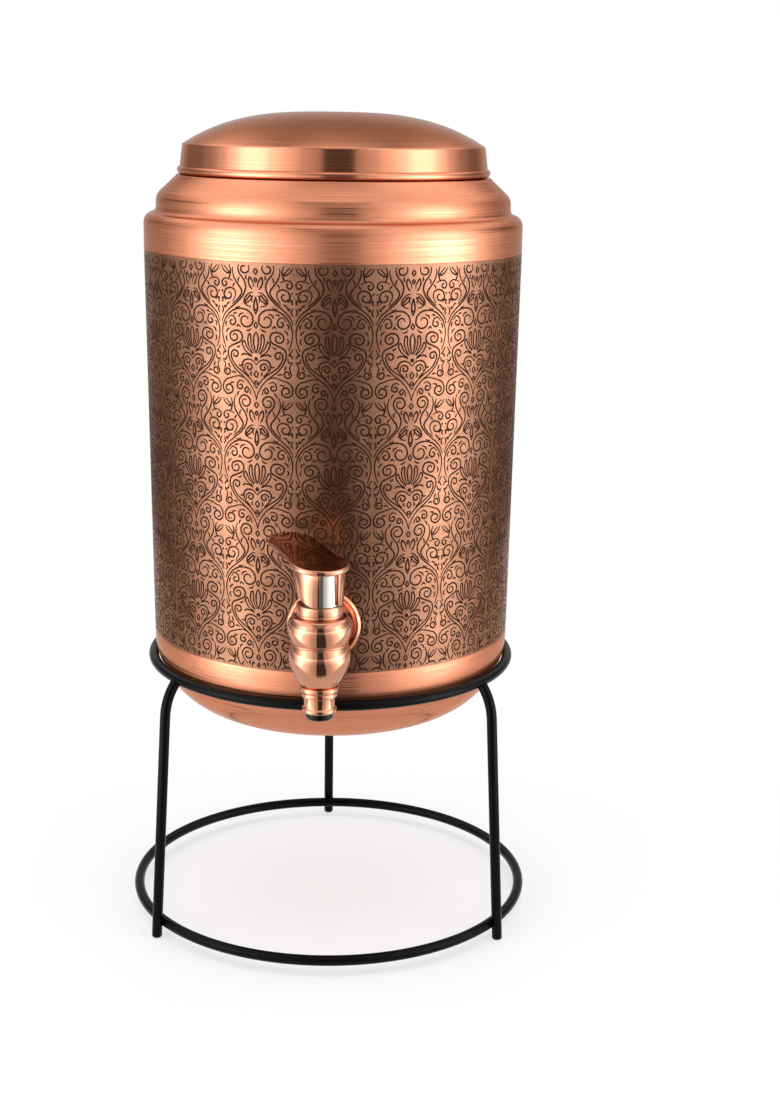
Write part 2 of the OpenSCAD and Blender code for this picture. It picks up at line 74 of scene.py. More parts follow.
def linear(hexColour):
    values = [int(hexColour[i:i + 2], 16) / 255 for i in (1, 3, 5)]
    return [c / 12.92 if c <= 0.04045 else ((c + 0.055) / 1.055) ** 2.4 for c in values] + [1]


# Adds a node and gives its outputs: settings are its properties, inputs are values or sockets to link
def addNode(tree, kind, inputs=None, **settings):
    node = tree.nodes.new("ShaderNode" + kind)
    for name, value in settings.items():
        setattr(node, name, value)
    for name, value in (inputs or {}).items():
        if isinstance(value, bpy.types.NodeSocket):
            tree.links.new(value, node.inputs[name])
        else:
            node.inputs[name].default_value = value
    return node.outputs


# Inputs that turn a change of a value into a change of level
def between(value, ends, levels=(0, 1)):
    return {"Value": value, "From Min": ends[0], "From Max": ends[1],
            "To Min": levels[0], "To Max": levels[1]}


# A material with fixed values on its shader, and the object's own coordinates for its patterns
def newMaterial(name, **sockets):
    material = bpy.data.materials.new(name)
    material.use_nodes = True
    tree = material.node_tree
    shader = tree.nodes["Principled BSDF"]
    for socket, value in sockets.items():
        shader.inputs[socket.replace("_", " ")].default_value = value
    where = addNode(tree, "TexCoord")["Object"]
    return material, tree, shader, where


def feed(tree, shader, sources):
    for socket, source in sources.items():
        tree.links.new(source, shader.inputs[socket])


# Turns a bmesh drawn in mm into a piece that rides on a body and stands for CAD nodes
def makePiece(name, bm, materials, body, nodes, sharpAngle=32):
    bmesh.ops.scale(bm, vec=(mm, mm, mm), verts=bm.verts)
    mesh = bpy.data.meshes.new(name)
    bm.to_mesh(mesh)
    bm.free()
    for material in materials:
        mesh.materials.append(material)
    if sharpAngle:
        mesh.shade_smooth()
        mesh.set_sharp_from_angle(angle=math.radians(sharpAngle))
    piece = bpy.data.objects.new(name, mesh)
    bpy.context.collection.objects.link(piece)
    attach(piece, body)
    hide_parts(*nodes)
    print(name, len(mesh.polygons), "faces")
    return piece


def arc(centre, radius, start, end, steps=12):
    turns = [math.radians(start + (end - start) * i / steps) for i in range(steps + 1)]
    return [(centre[0] + radius * math.cos(a), centre[1] + radius * math.sin(a)) for a in turns]


# Replaces each corner that has a third number by a fillet of that radius
def filleted(corners, steps=5):
    path = []
    for i, corner in enumerate(corners):
        if len(corner) < 3:
            path.append(tuple(corner))
            continue
        here = Vector(corner[:2])
        toLast = (Vector(corners[i - 1][:2]) - here).normalized()
        toNext = (Vector(corners[(i + 1) % len(corners)][:2]) - here).normalized()
        half = toLast.angle(toNext) / 2
        reach = corner[2] / math.tan(half)
        centre = here + (toLast + toNext).normalized() * corner[2] / math.sin(half)
        first = here + toLast * reach - centre
        sweep = first.angle_signed(here + toNext * reach - centre)
        for k in range(steps + 1):
            path.append(tuple(centre + Matrix.Rotation(-sweep * k / steps, 2) @ first))
    return path


# A shape of revolution about Z, from a closed list of radius and height
def spun(profile, steps):
    bm = bmesh.new()
    verts = [bm.verts.new((r, 0, z)) for r, z in profile]
    edges = [bm.edges.new(pair) for pair in zip(verts, verts[1:] + verts[:1])]
    bmesh.ops.spin(bm, geom=verts + edges, cent=(0, 0, 0), axis=(0, 0, 1), angle=2 * math.pi,
                   steps=steps, use_merge=True)
    bmesh.ops.remove_doubles(bm, verts=bm.verts, dist=tiny)
    bmesh.ops.dissolve_degenerate(bm, dist=tiny, edges=bm.edges)
    bmesh.ops.recalc_face_normals(bm, faces=bm.faces)
    return bm


# A round bar along stations of a point and a radius, closed at both ends
def bar(stations, sides):
    bm = bmesh.new()
    rings = []
    for i, (point, radius) in enumerate(stations):
        last = stations[max(i - 1, 0)][0]
        following = stations[min(i + 1, len(stations) - 1)][0]
        facing = (following - last).to_track_quat("Z", "Y").to_matrix().to_4x4()
        made = bmesh.ops.create_circle(bm, segments=sides, radius=radius,
                                       matrix=Matrix.Translation(point) @ facing)
        rings.append(list({edge for vert in made["verts"] for edge in vert.link_edges}))
    for lower, upper in zip(rings, rings[1:]):
        bmesh.ops.bridge_loops(bm, edges=lower + upper)
    bmesh.ops.holes_fill(bm, edges=rings[0] + rings[-1], sides=0)
    bmesh.ops.recalc_face_normals(bm, faces=bm.faces)
    return bm


def moved(bm, matrix):
    bmesh.ops.transform(bm, matrix=matrix, verts=bm.verts)
    return bm


# Puts a second shape into the first one's mesh
def addShape(bm, other):
    mesh = bpy.data.meshes.new("shape")
    other.to_mesh(mesh)
    other.free()
    bm.from_mesh(mesh)
    bpy.data.meshes.remove(mesh)


# Satin copper: spun sheet, brushed round and round, so each lamp draws out into an upright streak
satin = {"light": "#dd9572", "dark": "#cd8160", "brushLine": 0.3, "brushLength": 111.1, "markDepth": 0.2,
         "cloud": 40, "roughAt": (0.38, 0.53)}
lidBrush = {"roughness": (0.16, 0.22), "streak": 0.85}
vesselBrush = {"roughness": (0.15, 0.47), "streak": 0.5}


def makeSatinCopper(name, brushing):
    material, tree, shader, where = newMaterial(
        name, Metallic=1, Anisotropic=brushing["streak"], Anisotropic_Rotation=0.25, Coat_Weight=0.3,
        Coat_Roughness=0.1, Specular_Tint=linear("#e8c4ae"))
    # Marks that run round the vessel: fine in height, slow along the wall, drawn coarse enough to show
    along = 1 / (satin["brushLength"] * mm)
    size = (along, along, 1 / (satin["brushLine"] * mm))
    marks = addNode(tree, "Mapping", {"Vector": where, "Scale": size})
    brush = addNode(tree, "TexNoise", {"Vector": marks[0], "Scale": 1, "Detail": 3})
    cloud = addNode(tree, "TexNoise", {"Vector": where, "Scale": 1 / (satin["cloud"] * mm)})
    mixed = addNode(tree, "Math", {0: brush["Fac"], 1: cloud["Fac"]}, operation="MULTIPLY")
    # 6 and 7 are a Mix node's colour inputs, and 2 is its colour output
    tone = addNode(tree, "Mix", {0: mixed[0], 6: linear(satin["dark"]), 7: linear(satin["light"])},
                   data_type="RGBA")
    # Smooth lines between rough ones: the smooth show a sharp image and the rough a haze over it
    rough = addNode(tree, "MapRange", between(brush["Fac"], satin["roughAt"], brushing["roughness"]))
    tangent = addNode(tree, "Tangent", direction_type="RADIAL", axis="Z")
    bump = addNode(tree, "Bump", {"Height": brush["Fac"], "Strength": 0.05,
                                  "Distance": satin["markDepth"] * mm})
    feed(tree, shader, {"Base Color": tone[2], "Roughness": rough[0], "Tangent": tangent[0],
                        "Normal": bump[0]})
    return material


# Antique copper: the embossed sheet, darkened by hand and rubbed back, so it is dull and slightly grainy
antique = {"light": "#96684f", "dark": "#68432e", "grain": 0.6, "blotch": 14, "lightAt": (0.7, 1.3),
           "roughness": (0.22, 0.39), "grainDepth": 0.2}


def makeAntiqueCopper():
    material, tree, shader, where = newMaterial("antique copper, rubbed patina", Metallic=1, Coat_Weight=0.35,
                                                Coat_Roughness=0.2, Specular_Tint=linear("#d8b8a4"))
    grain = addNode(tree, "TexNoise", {"Vector": where, "Scale": 1 / (antique["grain"] * mm), "Detail": 2})
    blotch = addNode(tree, "TexNoise", {"Vector": where, "Scale": 1 / (antique["blotch"] * mm), "Detail": 4})
    fade = addNode(tree, "Math", {0: grain["Fac"], 1: blotch["Fac"]}, operation="ADD")
    spread = addNode(tree, "MapRange", between(fade[0], antique["lightAt"]))
    tone = addNode(tree, "Mix", {0: spread[0], 6: linear(antique["dark"]), 7: linear(antique["light"])},
                   data_type="RGBA")
    rough = addNode(tree, "MapRange", between(grain["Fac"], (0, 1), antique["roughness"]))
    bump = addNode(tree, "Bump", {"Height": grain["Fac"], "Strength": 0.12,
                                  "Distance": antique["grainDepth"] * mm})
    feed(tree, shader, {"Base Color": tone[2], "Roughness": rough[0], "Normal": bump[0]})
    return material


# A finish with one grain, which shades its colour and roughness and, given a depth, stands out from it
def makeFinish(name, look, **sockets):
    material, tree, shader, where = newMaterial(name, **sockets)
    grain = addNode(tree, "TexNoise", {"Vector": where, "Scale": 1 / (look["grain"] * mm),
                                       "Detail": look["detail"]})
    tone = addNode(tree, "Mix", {0: grain["Fac"], 6: linear(look["dark"]), 7: linear(look["light"])},
                   data_type="RGBA")
    rough = addNode(tree, "MapRange", between(grain["Fac"], (0, 1), look["roughness"]))
    feed(tree, shader, {"Base Color": tone[2], "Roughness": rough[0]})
    if "depth" in look:
        bump = addNode(tree, "Bump", {"Height": grain["Fac"], "Strength": 0.3,
                                      "Distance": look["depth"] * mm})
        feed(tree, shader, {"Normal": bump[0]})
    return material


satinCopper = makeSatinCopper("copper sheet, satin brushed", vesselBrush)
lidCopper = makeSatinCopper("copper sheet, fine satin brushed", lidBrush)
antiqueCopper = makeAntiqueCopper()

# Dark patina: what the rubbing left in the embossed lines, nearly black brown and dull
patina = {"light": "#4c2a18", "dark": "#28120a", "grain": 1.5, "detail": 3, "roughness": (0.5, 0.75)}
darkPatina = makeFinish("copper patina in the lines", patina, Metallic=0.3, Specular_IOR_Level=0.2)

# Copper plate, buffed: a warm mirror with only a faint haze of wiping marks
mirror = {"light": "#d4977a", "dark": "#c48668", "grain": 6, "detail": 4, "roughness": (0.042, 0.105)}
mirrorCopper = makeFinish("copper plate, mirror polished", mirror, Metallic=1)

# Chrome plate: a cold mirror, cleaner than the copper
chrome = {"light": "#c9c5c1", "dark": "#bab6b3", "grain": 6, "detail": 4, "roughness": (0.03, 0.075)}
chromePlate = makeFinish("chrome plate, bright", chrome, Metallic=1)

# Stainless steel as it comes from the lathe: grey, with blurred lights
steel = {"light": "#b4b5b7", "dark": "#a2a3a6", "grain": 6, "detail": 4, "roughness": (0.18, 0.45)}
stainlessSteel = makeFinish("stainless steel, plain turned", steel, Metallic=1)

# Powder coat on the wire: deep black, half glossy, with a fine orange peel
coat = {"light": "#060607", "dark": "#030304", "grain": 0.9, "detail": 2, "roughness": (0.18, 0.32),
        "depth": 0.1}
powderCoat = makeFinish("black powder coat, semi-gloss", coat, Specular_IOR_Level=0.09)

# Moulded plastic: black, with a small clear shine
plastic = {"light": "#070707", "dark": "#040404", "grain": 0.5, "detail": 2, "roughness": (0.14, 0.28),
           "depth": 0.03}
blackPlastic = makeFinish("black moulded plastic", plastic, Specular_IOR_Level=0.2)

# Moulded rubber: dark grey and dull
rubber = {"light": "#1d1c1b", "dark": "#141313", "grain": 0.7, "detail": 2, "roughness": (0.59, 0.73),
          "depth": 0.1}
blackRubber = makeFinish("black rubber, moulded", rubber, Specular_IOR_Level=0.5)
print("materials ready")

# Copper shell of the vessel: base dish, stepped shoulder and lid, all spun from sheet
shell = {"sheet": 1, "cornerRound": 39, "cornerSteps": 28, "lapGap": 0.15, "lapHeight": 6, "seamRound": 0.35,
         "sides": 192}
baseZ = low("vessel_base").z
baseR = high("vessel_base").x
sleeveZ = low("embossed_sleeve").z
shoulderZ = high("embossed_sleeve").z
sleeveTopR = high("embossed_sleeve").x


def sleeveR(z):
    return baseR + (sleeveTopR - baseR) * (z - sleeveZ) / (shoulderZ - sleeveZ)


def makeVesselBase():
    sheet, corner, steps = shell["sheet"], shell["cornerRound"], shell["cornerSteps"]
    centre = (baseR - corner, baseZ + corner)
    lapR = baseR - sheet - shell["lapGap"]
    lapZ = sleeveZ + shell["lapHeight"]
    seam = filleted([(baseR, centre[1]), (baseR, sleeveZ, shell["seamRound"]), (lapR, sleeveZ)])[1:]
    outer = [(0, baseZ)] + arc(centre, corner, -90, 0, steps) + seam
    lap = [(lapR, lapZ), (lapR - sheet, lapZ), (lapR - sheet, centre[1])]
    inner = arc(centre, corner - sheet, 0, -90, steps) + [(0, baseZ + sheet)]
    makePiece("vessel_base_dish", spun(outer + lap + inner, shell["sides"]), [satinCopper], "vessel",
              ["vessel_base"])


shoulder = {"wall": 12.3, "stepRound": 5, "stepTurn": 75, "coveRound": 3, "riser": 2.1, "crownRound": 7,
            "slope": 45, "ledge": 74.9, "ledgeRound": 0.9, "neck": 70.6, "neckRound": 0.6, "neckHeight": 9,
            "rimRound": 0.3, "root": 2}


# Outside of the sheet from the wall's top to the neck's foot, or the line that lies so far inside it
def shoulderPath(inset):
    step = (sleeveTopR - shoulder["stepRound"], shoulderZ + shoulder["wall"])
    turn = math.radians(shoulder["stepTurn"])
    apart = shoulder["stepRound"] + shoulder["coveRound"]
    cove = (step[0] + apart * math.cos(turn), step[1] + apart * math.sin(turn))
    crown = (cove[0] - shoulder["coveRound"] - shoulder["crownRound"], cove[1] + shoulder["riser"])
    slope = math.radians(shoulder["slope"])
    topZ = high("vessel_shoulder").z
    ledgeR, ledgeZ = shoulder["ledge"] - inset * math.tan(slope / 2), topZ - shoulder["neckHeight"] - inset
    neckR = shoulder["neck"] - inset
    ledge = filleted([crown, (ledgeR, ledgeZ, shoulder["ledgeRound"]),
                      (neckR, ledgeZ, shoulder["neckRound"]), (neckR, topZ)])[1:-1]
    return (arc(step, shoulder["stepRound"] - inset, 0, shoulder["stepTurn"])
            + arc(cove, shoulder["coveRound"] + inset, 180 + shoulder["stepTurn"], 180)
            + arc(crown, shoulder["crownRound"] - inset, 0, shoulder["slope"]) + ledge)


def makeVesselShoulder():
    sheet = shell["sheet"]
    lapR = sleeveTopR - sheet - shell["lapGap"]
    lapZ = shoulderZ - shell["lapHeight"]
    rootZ = shoulderZ + shoulder["root"]
    neckR, topZ, rimRound = shoulder["neck"], high("vessel_shoulder").z, shoulder["rimRound"]
    seam = filleted([(lapR, lapZ), (lapR, shoulderZ), (sleeveTopR, shoulderZ, shell["seamRound"]),
                     (sleeveTopR, topZ)])[:-1]
    rim = filleted([(neckR, shoulderZ), (neckR, topZ, rimRound), (neckR - sheet, topZ, rimRound),
                    (neckR - sheet, shoulderZ)])[1:-1]
    inner = shoulderPath(sheet)[::-1]
    root = [(sleeveTopR - sheet, rootZ), (lapR - sheet, rootZ), (lapR - sheet, lapZ)]
    makePiece("vessel_stepped_shoulder", spun(seam + shoulderPath(0) + rim + inner + root, shell["sides"]),
              [satinCopper], "vessel", ["vessel_shoulder"])


lid = {"radius": 71.8, "sheet": 0.8, "beadRound": 1.9, "beadStart": -120, "beadSteps": 28, "edgeRound": 1.2,
       "edgeTurn": 56, "skirt": 13.1, "skirtLift": 1, "power": 3, "rings": 40}


def makeLid():
    sheet = lid["sheet"]
    bottomZ, topZ = low("lid_cap").z, high("lid_cap").z
    bead = (high("lid_cap").x - lid["beadRound"], bottomZ + lid["beadRound"])
    corner = (lid["radius"] - lid["edgeRound"], bottomZ + lid["skirt"])
    edge = arc(corner, lid["edgeRound"], 0, lid["edgeTurn"])
    rimR, rimZ = edge[-1]
    rings = [1 - i / lid["rings"] for i in range(lid["rings"] + 1)]
    rises = [(topZ - rimZ) * (1 - t ** lid["power"]) for t in rings]
    crown = [(rimR * t, rimZ + rise) for t, rise in zip(rings, rises)][1:]
    under = [((rimR - sheet) * t, rimZ - sheet + rise) for t, rise in zip(rings, rises)][::-1]
    lean = math.degrees(math.asin((lid["radius"] - bead[0]) / lid["beadRound"]))
    roll = arc(bead, lid["beadRound"], lid["beadStart"], 90 + lean, lid["beadSteps"])
    skirt = [(lid["radius"] - sheet, bottomZ + lid["skirtLift"])]
    makePiece("lid_crowned_cap", spun(roll + edge + crown + under + skirt, shell["sides"]), [lidCopper],
              "lid", ["lid_cap"])


makeVesselBase()
makeVesselShoulder()
makeLid()
print("copper shell done")

# Embossed pattern: a scrolling damask of palmettes in heart frames, repeated round the sleeve.
# tile is the width of the drawing that one column takes, and tip and swell are shares of the line's width
engraving = {"columns": 16, "tile": 35.1, "period": 58.7, "firstFoot": 171.8, "columnTurn": 2.5, "line": 0.76,
             "tip": 0.62, "swell": 0.5, "wall": 0.13, "depth": 0.32, "margin": 0.5, "longest": 2.2,
             "bend": 17, "across": 10, "up": 34}

# Right half of one repeat, in mm from the palmette's foot. A last place with a third number is the centre
# of a closing spiral, and that number is its turns
scrolls = [
    [(0, 2.6), (0.9, 5.4), (1.2, 8.4), (0.8, 10.6), (0, 12)],
    [(0.7, 2.6), (2.1, 5.4), (2.5, 8.2), (2.5, 10.4), (3.4, 10.7), (4, 8.6), (3.5, 5.6), (1.5, 2.3)],
    [(1.8, 2.2), (4.2, 4.7), (5.4, 7.4), (6.3, 7.4), (6.6, 6), (5, 3.3), (2, 1.4)],
    [(1.8, 0.7), (3.9, 1.8), (6, 2), (7.3, 1.2)],
    [(7.4, 3.6), (6.9, 4.4)],
    [(0, -2.6), (1.4, -1), (3.4, -0.2), (5.6, -0.7), (6.8, -2.4), (6.5, -4.4), (5, -6.4), (3.4, -7.8)],
    [(5.5, -4.9), (5.4, -3), (4, -2), (2.3, -2.6), (3.5, -3.7, 0.85)],
    [(0, -5.2), (0.9, -6.7), (0, -8.4)],
    [(0, -18.2), (0.9, -14.8), (3.4, -10.8), (6.3, -8.1), (10.3, -5), (13.1, -1), (14, 2.2), (13.1, 4.7),
     (10, 6.2), (7.3, 7.6), (6.6, 9.6), (7.6, 11.6), (9.8, 12.2), (12.2, 11.3), (10.6, 9.4, 1.15)],
    [(0, -13), (2.6, -9.2), (5.8, -6.6), (9.9, -3.7), (12, -0.7), (12.4, 1.7), (11.2, 3.3), (9.4, 3),
     (10.4, 1.6, 0.8)],
    [(8.1, -1.6), (9.1, -0.6)],
    [(15, 4), (16.2, 7.2), (16.8, 11.2), (16.2, 15), (14, 18.7), (10.9, 21.1), (7.5, 21.9), (4.2, 21.4),
     (1.9, 19.4), (1.3, 16.6), (4.9, 17, 0.95)],
    [(5.8, 20), (7.6, 19.4), (8.4, 18)],
    [(14, 16.9), (12.4, 18.6), (10.6, 17.9), (9.9, 16), (11.7, 15.9, 0.85)],
    [(14.4, 9.6), (15, 8.2), (14.2, 7)],
    [(0, 19.6), (0.8, 21.6), (0.8, 24), (0, 27.4)],
    [(2.2, 22.9), (4.2, 23.4), (5.2, 24.8), (3.7, 26.6), (2.4, 27.9), (1.8, 26.2), (1.7, 24.7)],
    [(17, -43), (15.5, -39.6), (12.4, -36.7), (8.6, -33.8), (5.7, -30.4), (4.7, -27.2), (5.6, -24.2),
     (7.9, -21.4), (8.5, -18.7), (7.2, -16.7), (5.5, -19.3, 1.2)],
    [(10.4, -16.6), (11.3, -19.6), (10.8, -22.8), (9, -25.8), (7, -28.3), (6.9, -30.4), (9.2, -33.2),
     (11.6, -35)],
    [(0, -19), (0.8, -20.4), (0, -21.9)],
    [(0.9, -27.2), (1.2, -25.2), (2.8, -23), (3.4, -25), (2.7, -27), (1.6, -28.3)],
    [(1.3, -29.5), (3.3, -30), (5.3, -32.2), (5.4, -34.4), (3.6, -33.8), (2.1, -32.4), (1.1, -30.8)],
    [(0, -31.6), (0.5, -33.6), (0.9, -36), (0, -37.6)],
    [(17, 5.2), (16.2, 3.6), (15.2, 2.4), (16.3, 2), (16.9, 0.6)],
    [(16.8, -1.4), (15.5, -2.9), (15.8, -4.8), (16.2, -6.6), (14.8, -7.8), (13.3, -7.2), (14.5, -6.1, 0.8)],
    [(5, -9), (8.4, -7.9), (12, -8.9), (15.2, -10), (16.8, -12.4), (16.5, -15), (14.4, -16.4),
     (12.2, -15.5), (14, -13.9, 1)],
    [(6, -10.6), (7.6, -9.9), (9.2, -10.9), (9.5, -12.6), (7.9, -12.4, 0.95)],
    [(16.9, -18.2), (16.2, -20), (14.2, -21.6), (13, -21.4), (14.4, -19.6), (15.8, -18.4)],
    [(13, -17.8), (12.2, -20.2), (12.6, -22.8), (13.6, -24.6)],
    [(11.2, -25), (13.4, -24), (15.6, -24.2), (16.8, -25.8), (16, -27.4), (15.3, -26, 0.6)],
    [(11.4, -34), (9.9, -31.3), (10.2, -29), (12.3, -27.9), (14.8, -28.8), (15.8, -30.8),
     (13.3, -30.9, 0.8)],
    [(16.9, -33.4), (16, -32.4), (14.6, -33.4)],
    [(16.9, -22.8), (15.8, -23)],
    [(16.9, -0.6), (15.9, -1.2), (14.9, -0.5), (14.6, 0.8)],
    [(16.9, -8.8), (16.2, -9.4)],
    [(10.9, -11), (12.4, -11.2), (13.2, -12.2)],
    [(10.2, -14.4), (11, -13.2)],
    [(13, 13), (14.2, 12.2), (14.8, 10.9)],
    [(0, -9.5), (0.8, -10.4), (0, -11.4)],
    [(3.3, -31.5), (4.4, -32.9)],
    [(8.3, -14.8), (9.2, -15.6), (9.6, -16.8)],
    [(2.2, 13.4), (3.4, 12.4), (4.8, 12.2)],
    [(7.8, -35.8), (9, -36.6), (10.2, -36.4)],
    [(6.1, -2.6), (7.7, -3.4), (8.6, -3)],
    [(16.9, 19.4), (16.2, 21), (16.9, 22.8)],
    [(16.9, 24.2), (16.4, 25.2), (16.9, 26.4)],
    [(2.8, -16), (3.1, -14), (4.5, -12.7), (5.6, -13.6), (4.6, -14.2, 0.8)],
    [(7.4, 13.6), (8.6, 14.6), (9.4, 13.8)],
    [(0, 13.4), (0.7, 14.8), (0, 16.4)],
    [(12.6, 24.4), (13.8, 23.8), (14.6, 22.6)],
    [(7.6, -23), (8.4, -24.2), (8.2, -25.4)],
    [(14.9, 13.6), (15.1, 14.9), (14.2, 16)],
    [(9.2, 19.6), (10.2, 19.8), (11.2, 19.2)],
    [(0, -23), (0.6, -24.1), (0, -25.3)],
    [(7.7, 5.6), (8.7, 4.9), (9.6, 4.9)],
    [(9.9, -25.7), (10.8, -26.6), (11, -27.6)],
    [(4.3, -22), (4.7, -23.2), (4.2, -24.2)],
    [(10, -6.9), (11.1, -6.3), (12.2, -6.6)],
    [(12.9, -4.6), (13.6, -3.6), (13.7, -2.4)],
    [(2.3, -5.6), (2.7, -6.6), (2.2, -7.6)],
]
# Small rings in the same half: place and radius
rounds = [(0, 0, 1), (15.2, -36.4, 0.75), (16.6, -29.6, 0.5), (2.5, 31.5, 0.5)]
panel, engravedLine, inside = range(3)  # material slots of the sleeve


# A smooth line through the points, then the closing spiral
def traced(scroll, steps=12, curlSteps=40, closing=0.72):
    points = [Vector(p) for p in scroll if len(p) == 2]
    padded = [points[0] * 2 - points[1]] + points + [points[-1] * 2 - points[-2]]
    line = []
    for a, b, c, d in zip(padded, padded[1:], padded[2:], padded[3:]):
        for i in range(steps):
            t = i / steps
            line.append(0.5 * (2 * b + (c - a) * t + (2 * a - 5 * b + 4 * c - d) * t ** 2
                               + (3 * b - a - 3 * c + d) * t ** 3))
    line.append(points[-1])
    if len(scroll[-1]) == 3:
        x, y, turns = scroll[-1]
        arm = line[-1] - Vector((x, y))
        way = math.copysign(1, arm.cross(line[-1] - line[-2]))
        for i in range(1, curlSteps + 1):
            t = i / curlSteps
            turned = Matrix.Rotation(way * turns * t * 2 * math.pi, 2)
            line.append(Vector((x, y)) + turned @ arm * (1 - closing * t))
    return line


# The same line in fewer, straight runs
def thinned(line):
    kept = [line[0]]
    turned = 0
    for before, here, after in zip(line, line[1:], line[2:]):
        if (after - here).length > tiny and (here - before).length > tiny:
            turned += abs((here - before).angle(after - here))
        if turned > math.radians(engraving["bend"]) or (here - kept[-1]).length > engraving["longest"]:
            kept.append(here)
            turned = 0
    return kept + [line[-1]]


# The two sides of a line that swells in the middle, as one loop
def ribbon(line, fullness=0.7):
    sides = []
    for i, point in enumerate(line):
        along = (line[min(i + 1, len(line) - 1)] - line[max(i - 1, 0)]).normalized()
        t = i / (len(line) - 1)
        share = engraving["tip"] + engraving["swell"] * math.sin(math.pi * t) ** fullness
        across = Vector((along.y, -along.x)) * (engraving["line"] / 2 * share)
        sides.append((point + across, point - across))
    return [s[0] for s in sides] + [s[1] for s in sides][::-1]


def ring(x, y, radius, sides=9):
    turns = [2 * math.pi * i / sides for i in range(sides)]
    return [Vector((x + radius * math.cos(a), y + radius * math.sin(a))) for a in turns]


# All line loops of one column, cut off where the sleeve ends
def columnLoops():
    floor = sleeveZ + engraving["margin"]
    ceiling = shoulderZ - engraving["margin"]
    lines = [thinned(traced(scroll)) for scroll in scrolls]
    loops = []
    # These are the rows that reach the sleeve
    for row in range(-1, 4):
        foot = Vector((0, engraving["firstFoot"] + row * engraving["period"]))
        for flip in (1, -1):
            for line in lines:
                run = []
                for point in line + [None]:
                    place = point and Vector((point.x * flip, point.y)) + foot
                    if place and floor < place.y < ceiling:
                        run.append(place)
                        continue
                    if len(run) > 2:
                        loops.append(ribbon(run))
                    run = []
            # The first ring stands in the middle, so it has no mirror image
            for x, y, radius in rounds[0 if flip > 0 else 1:]:
                loop = [p + foot for p in ring(x * flip, y, radius)]
                if all(floor < p.y < ceiling for p in loop):
                    loops.append(loop)
    return loops


# One flat column: the sheet with its lines sunk in, drawn in mm of width and height
def flatColumn():
    width, across, up = engraving["tile"], engraving["across"], engraving["up"]
    height = shoulderZ - sleeveZ
    coords = []
    for j in range(up + 1):
        for i in range(across + 1):
            coords.append(Vector((-width / 2 + width * i / across, sleeveZ + height * j / up)))
    last = across + 1
    edges = [(j * last, (j + 1) * last) for j in range(up)]
    edges += [(j * last + across, (j + 1) * last + across) for j in range(up)]
    edges += [(i, i + 1) for i in range(across)] + [(up * last + i, up * last + i + 1) for i in range(across)]
    loops = []
    for loop in columnLoops():
        loops.append(list(range(len(coords), len(coords) + len(loop))))
        coords += loop
    nearest = 0.0001
    places, _, faces, _, _, origins = delaunay_2d_cdt(coords, edges, loops, 0, nearest, True)
    bm = bmesh.new()
    verts = [bm.verts.new((p.x, p.y, 0)) for p in places]
    for face, origin in zip(faces, origins):
        made = bm.faces.new([verts[i] for i in face])
        made.material_index = engravedLine if origin else panel
    bm.normal_update()
    lines = [face for face in bm.faces if face.material_index == engravedLine]
    walls = bmesh.ops.inset_region(bm, faces=lines, thickness=engraving["wall"], depth=-engraving["depth"],
                                   use_boundary=True, use_even_offset=True)
    for face in walls["faces"]:
        face.material_index = engravedLine
    return bm


